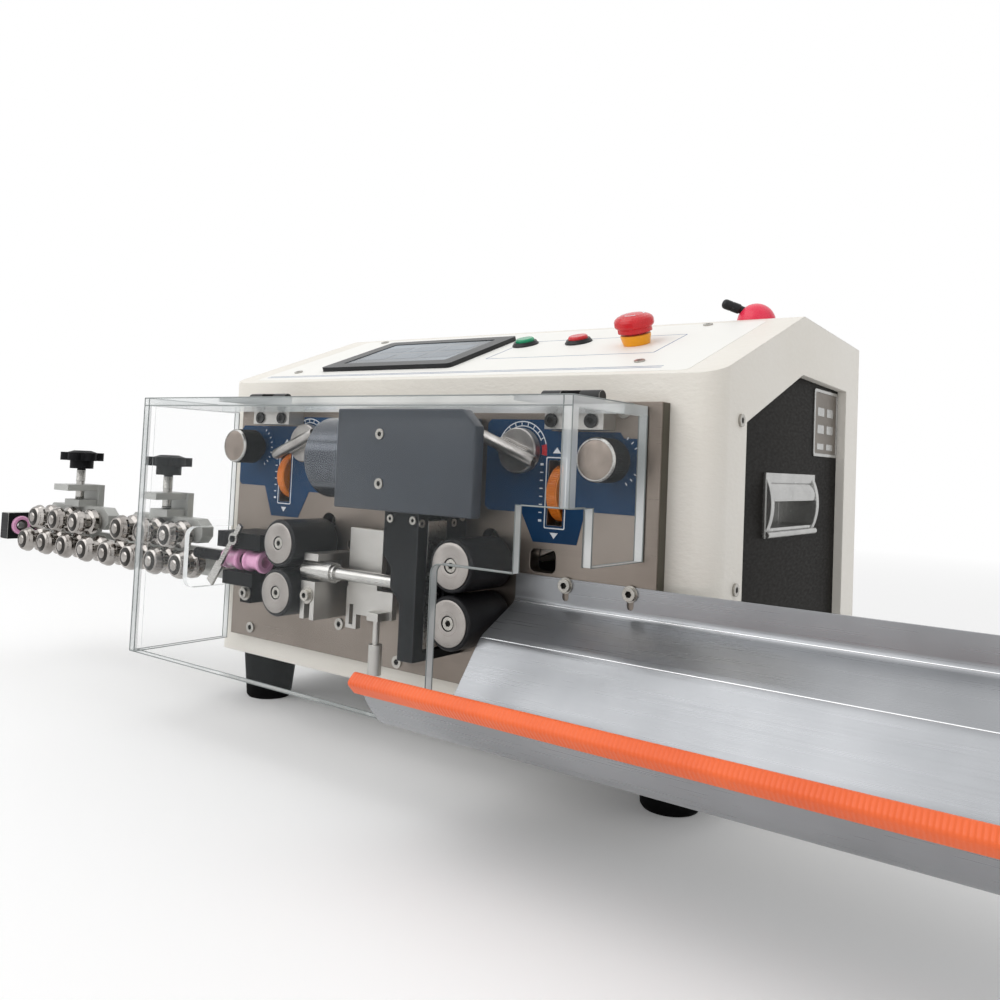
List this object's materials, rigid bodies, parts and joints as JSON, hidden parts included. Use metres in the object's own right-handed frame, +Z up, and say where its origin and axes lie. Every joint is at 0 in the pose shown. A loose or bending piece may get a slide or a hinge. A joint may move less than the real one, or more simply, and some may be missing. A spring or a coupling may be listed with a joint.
{
  "type": "wire cutting and stripping machine",
  "caption": "Bench-top machine that straightens, feeds, cuts and strips wire, with sloping touch panel, clear hinged cover, feed rollers, roller straightener and outfeed tray.",
  "frame": {"origin": "bottom centre of the bounding box, on the bench plane under the feet", "axes": "+X along the wire from infeed to outfeed, +Y from the front to the back, +Z up"},
  "size_m": [1.058, 0.47, 0.359],
  "materials": {
    "powder_coat": "fine orange-peel powder coat",
    "pan_steel": "plain grey",
    "foot_rubber": "matt",
    "side_liner": "matt charcoal",
    "handle_metal": "satin chrome",
    "motor_black": "satin",
    "screen_black": "black bezel",
    "green_plastic": "gloss",
    "red_plastic": "gloss",
    "yellow_plastic": "gloss",
    "dome_plastic": "gloss",
    "stylus_plastic": "gloss",
    "plate_nickel": "satin nickel",
    "slate_paint": "satin slate",
    "cutter_motor_grey": "satin",
    "frame_black": "black oxide",
    "bright_steel": "ground",
    "black_plastic": "matt",
    "pink_ceramic": "polished",
    "feed_roller": "steel core with black tread",
    "arm_aluminium": "milled",
    "lever_chrome": "satin chrome",
    "wheel_orange": "gloss",
    "block_aluminium": "milled",
    "hinge_black": "satin",
    "clear_acrylic": "clear, polished edges",
    "tray_stainless": "brushed stainless",
    "trim_orange": "smooth edging tube",
    "bar_aluminium": "milled",
    "roller_chrome": "polished"
  },
  "bodies": {
    "machine": {"cabinet_shell": "powder_coat", "base_pan": "pan_steel", "rubber_feet": "foot_rubber", "side_panels": "side_liner", "side_handles": "handle_metal", "feed_motors": "motor_black", "touch_screen": "screen_black", "estop_collar": "yellow_plastic", "stylus_holder": "dome_plastic", "front_plate": "plate_nickel", "cutter_cover": "slate_paint", "cutter_motor": "cutter_motor_grey", "blade_frame": "frame_black", "guide_tube": "bright_steel", "tube_bracket": "bright_steel", "infeed_holder": "black_plastic", "ceramic_guides": "pink_ceramic", "hinge_blocks": "block_aluminium", "outfeed_tray": "tray_stainless", "tray_trim": "trim_orange", "straightener_bar": "bar_aluminium"},
    "start_button": {"start_button": "green_plastic"},
    "stop_button": {"stop_button": "red_plastic"},
    "estop_head": {"estop_head": "red_plastic"},
    "stylus": {"stylus": "stylus_plastic"},
    "upper_blade_holder": {"upper_blade_holder": "bright_steel"},
    "lower_blade_holder": {"lower_blade_holder": "bright_steel"},
    "sensor_lever": {"sensor_lever": "bright_steel"},
    "left_upper_roller": {"left_upper_roller": "feed_roller"},
    "left_lower_roller": {"left_lower_roller": "feed_roller"},
    "right_upper_roller": {"right_upper_roller": "feed_roller"},
    "right_lower_roller": {"right_lower_roller": "feed_roller"},
    "left_roller_arm": {"left_roller_arm": "arm_aluminium"},
    "right_roller_arm": {"right_roller_arm": "arm_aluminium"},
    "gap_knob_left": {"gap_knob_left": "black_plastic"},
    "gap_knob_right": {"gap_knob_right": "black_plastic"},
    "pressure_lever_left": {"pressure_lever_left": "lever_chrome"},
    "pressure_lever_right": {"pressure_lever_right": "lever_chrome"},
    "thumbwheel_left": {"thumbwheel_left": "wheel_orange"},
    "thumbwheel_right": {"thumbwheel_right": "wheel_orange"},
    "upper_slide_a": {"upper_slide_a": "bar_aluminium"},
    "upper_slide_b": {"upper_slide_b": "bar_aluminium"},
    "star_knob_a": {"star_knob_a": "black_plastic"},
    "star_knob_b": {"star_knob_b": "black_plastic"},
    "lower_roller_1": {"lower_roller_1": "roller_chrome"},
    "lower_roller_2": {"lower_roller_2": "roller_chrome"},
    "lower_roller_3": {"lower_roller_3": "roller_chrome"},
    "lower_roller_4": {"lower_roller_4": "roller_chrome"},
    "lower_roller_5": {"lower_roller_5": "roller_chrome"},
    "lower_roller_6": {"lower_roller_6": "roller_chrome"},
    "lower_roller_7": {"lower_roller_7": "roller_chrome"},
    "lower_roller_8": {"lower_roller_8": "roller_chrome"},
    "upper_roller_1": {"upper_roller_1": "roller_chrome"},
    "upper_roller_2": {"upper_roller_2": "roller_chrome"},
    "upper_roller_3": {"upper_roller_3": "roller_chrome"},
    "upper_roller_4": {"upper_roller_4": "roller_chrome"},
    "upper_roller_5": {"upper_roller_5": "roller_chrome"},
    "upper_roller_6": {"upper_roller_6": "roller_chrome"},
    "cover": {"safety_cover": "clear_acrylic", "cover_leaves": "hinge_black"}
  },
  "joints": [
    {"name": "start_press", "type": "slide", "parent": "machine", "child": "start_button", "axis": [0, 0.3525, -0.9358], "range_m": [0, 0.003], "stiffness_N_per_m": 300, "springref_m": -0.001},
    {"name": "stop_press", "type": "slide", "parent": "machine", "child": "stop_button", "axis": [0, 0.3525, -0.9358], "range_m": [0, 0.003], "stiffness_N_per_m": 300, "springref_m": -0.001},
    {"name": "estop_press", "type": "slide", "parent": "machine", "child": "estop_head", "axis": [0, 0.3525, -0.9358], "range_m": [0, 0.004]},
    {"name": "stylus_pull", "type": "slide", "parent": "machine", "child": "stylus", "axis": [-0.8018, -0.501, 0.3256], "range_m": [0, 0.03]},
    {"name": "upper_blade_close", "type": "slide", "parent": "machine", "child": "upper_blade_holder", "axis": [0, 0, -1], "range_m": [0, 0.009]},
    {"name": "lower_blade_close", "type": "slide", "parent": "machine", "child": "lower_blade_holder", "axis": [0, 0, 1], "range_m": [0, 0.009]},
    {"name": "sensor_swing", "type": "hinge", "parent": "machine", "child": "sensor_lever", "pos_m": [-0.15, -0.123, 0.147], "axis": [0, 1, 0], "range_deg": [-12, 12], "stiffness_Nm_per_rad": 0.05},
    {"name": "left_lever_turn", "type": "hinge", "parent": "machine", "child": "pressure_lever_left", "pos_m": [-0.1155, -0.086, 0.2265], "axis": [0, -1, 0], "range_deg": [0, 75]},
    {"name": "left_arm_lift", "type": "hinge", "parent": "machine", "child": "left_roller_arm", "pos_m": [-0.1365, -0.063, 0.16775], "axis": [0, -1, 0], "range_deg": [0, 18]},
    {"name": "left_lower_spin", "type": "hinge", "parent": "machine", "child": "left_lower_roller", "pos_m": [-0.0915, -0.099, 0.11125], "axis": [0, 1, 0], "continuous": true},
    {"name": "left_upper_spin", "type": "hinge", "parent": "left_roller_arm", "child": "left_upper_roller", "pos_m": [-0.0915, -0.099, 0.14875], "axis": [0, 1, 0], "continuous": true},
    {"name": "gap_left_turn", "type": "hinge", "parent": "machine", "child": "gap_knob_left", "pos_m": [-0.1784, -0.089, 0.222], "axis": [0, 1, 0], "range_deg": [-150, 150]},
    {"name": "wheel_left_turn", "type": "hinge", "parent": "machine", "child": "thumbwheel_left", "pos_m": [-0.1428, -0.066, 0.199], "axis": [1, 0, 0], "range_deg": [-160, 160]},
    {"name": "right_lever_turn", "type": "hinge", "parent": "machine", "child": "pressure_lever_right", "pos_m": [0.098, -0.086, 0.2265], "axis": [0, -1, 0], "range_deg": [0, 75]},
    {"name": "right_arm_lift", "type": "hinge", "parent": "machine", "child": "right_roller_arm", "pos_m": [0.123, -0.063, 0.16775], "axis": [0, 1, 0], "range_deg": [0, 18]},
    {"name": "right_lower_spin", "type": "hinge", "parent": "machine", "child": "right_lower_roller", "pos_m": [0.078, -0.099, 0.11125], "axis": [0, 1, 0], "continuous": true},
    {"name": "right_upper_spin", "type": "hinge", "parent": "right_roller_arm", "child": "right_upper_roller", "pos_m": [0.078, -0.099, 0.14875], "axis": [0, 1, 0], "continuous": true},
    {"name": "gap_right_turn", "type": "hinge", "parent": "machine", "child": "gap_knob_right", "pos_m": [0.171, -0.089, 0.222], "axis": [0, 1, 0], "range_deg": [-150, 150]},
    {"name": "wheel_right_turn", "type": "hinge", "parent": "machine", "child": "thumbwheel_right", "pos_m": [0.1265, -0.066, 0.199], "axis": [1, 0, 0], "range_deg": [-160, 160]},
    {"name": "cover_open", "type": "hinge", "parent": "machine", "child": "cover", "pos_m": [0, -0.097, 0.2615], "axis": [-1, 0, 0], "range_deg": [0, 95]},
    {"name": "slide_a_lift", "type": "slide", "parent": "machine", "child": "upper_slide_a", "axis": [0, 0, 1], "range_m": [-0.003, 0.006]},
    {"name": "star_a_turn", "type": "hinge", "parent": "upper_slide_a", "child": "star_knob_a", "pos_m": [-0.4305, -0.096, 0.19], "axis": [0, 0, 1], "range_deg": [-870, 1735]},
    {"name": "slide_b_lift", "type": "slide", "parent": "machine", "child": "upper_slide_b", "axis": [0, 0, 1], "range_m": [-0.003, 0.006]},
    {"name": "star_b_turn", "type": "hinge", "parent": "upper_slide_b", "child": "star_knob_b", "pos_m": [-0.2825, -0.096, 0.19], "axis": [0, 0, 1], "range_deg": [-870, 1735]},
    {"name": "lower_spin_1", "type": "hinge", "parent": "machine", "child": "lower_roller_1", "pos_m": [-0.227, -0.111, 0.118], "axis": [0, 1, 0], "continuous": true},
    {"name": "lower_spin_2", "type": "hinge", "parent": "machine", "child": "lower_roller_2", "pos_m": [-0.264, -0.111, 0.118], "axis": [0, 1, 0], "continuous": true},
    {"name": "lower_spin_3", "type": "hinge", "parent": "machine", "child": "lower_roller_3", "pos_m": [-0.301, -0.111, 0.118], "axis": [0, 1, 0], "continuous": true},
    {"name": "lower_spin_4", "type": "hinge", "parent": "machine", "child": "lower_roller_4", "pos_m": [-0.338, -0.111, 0.118], "axis": [0, 1, 0], "continuous": true},
    {"name": "lower_spin_5", "type": "hinge", "parent": "machine", "child": "lower_roller_5", "pos_m": [-0.375, -0.111, 0.118], "axis": [0, 1, 0], "continuous": true},
    {"name": "lower_spin_6", "type": "hinge", "parent": "machine", "child": "lower_roller_6", "pos_m": [-0.412, -0.111, 0.118], "axis": [0, 1, 0], "continuous": true},
    {"name": "lower_spin_7", "type": "hinge", "parent": "machine", "child": "lower_roller_7", "pos_m": [-0.449, -0.111, 0.118], "axis": [0, 1, 0], "continuous": true},
    {"name": "lower_spin_8", "type": "hinge", "parent": "machine", "child": "lower_roller_8", "pos_m": [-0.486, -0.111, 0.118], "axis": [0, 1, 0], "continuous": true},
    {"name": "upper_spin_1", "type": "hinge", "parent": "upper_slide_b", "child": "upper_roller_1", "pos_m": [-0.2455, -0.111, 0.142], "axis": [0, 1, 0], "continuous": true},
    {"name": "upper_spin_2", "type": "hinge", "parent": "upper_slide_b", "child": "upper_roller_2", "pos_m": [-0.2825, -0.111, 0.142], "axis": [0, 1, 0], "continuous": true},
    {"name": "upper_spin_3", "type": "hinge", "parent": "upper_slide_b", "child": "upper_roller_3", "pos_m": [-0.3195, -0.111, 0.142], "axis": [0, 1, 0], "continuous": true},
    {"name": "upper_spin_4", "type": "hinge", "parent": "upper_slide_a", "child": "upper_roller_4", "pos_m": [-0.3935, -0.111, 0.142], "axis": [0, 1, 0], "continuous": true},
    {"name": "upper_spin_5", "type": "hinge", "parent": "upper_slide_a", "child": "upper_roller_5", "pos_m": [-0.4305, -0.111, 0.142], "axis": [0, 1, 0], "continuous": true},
    {"name": "upper_spin_6", "type": "hinge", "parent": "upper_slide_a", "child": "upper_roller_6", "pos_m": [-0.4675, -0.111, 0.142], "axis": [0, 1, 0], "continuous": true}
  ],
  "couplings": [
    {"joint": "lower_blade_close", "follows": "upper_blade_close", "ratio": 1},
    {"joint": "left_arm_lift", "follows": "left_lever_turn", "ratio": 0.24},
    {"joint": "left_upper_spin", "follows": "left_lower_spin", "ratio": -1},
    {"joint": "right_arm_lift", "follows": "right_lever_turn", "ratio": 0.24},
    {"joint": "right_upper_spin", "follows": "right_lower_spin", "ratio": -1},
    {"joint": "star_a_turn", "follows": "slide_a_lift", "rad_per_m": 5026.5},
    {"joint": "star_b_turn", "follows": "slide_b_lift", "rad_per_m": 5026.5}
  ]
}
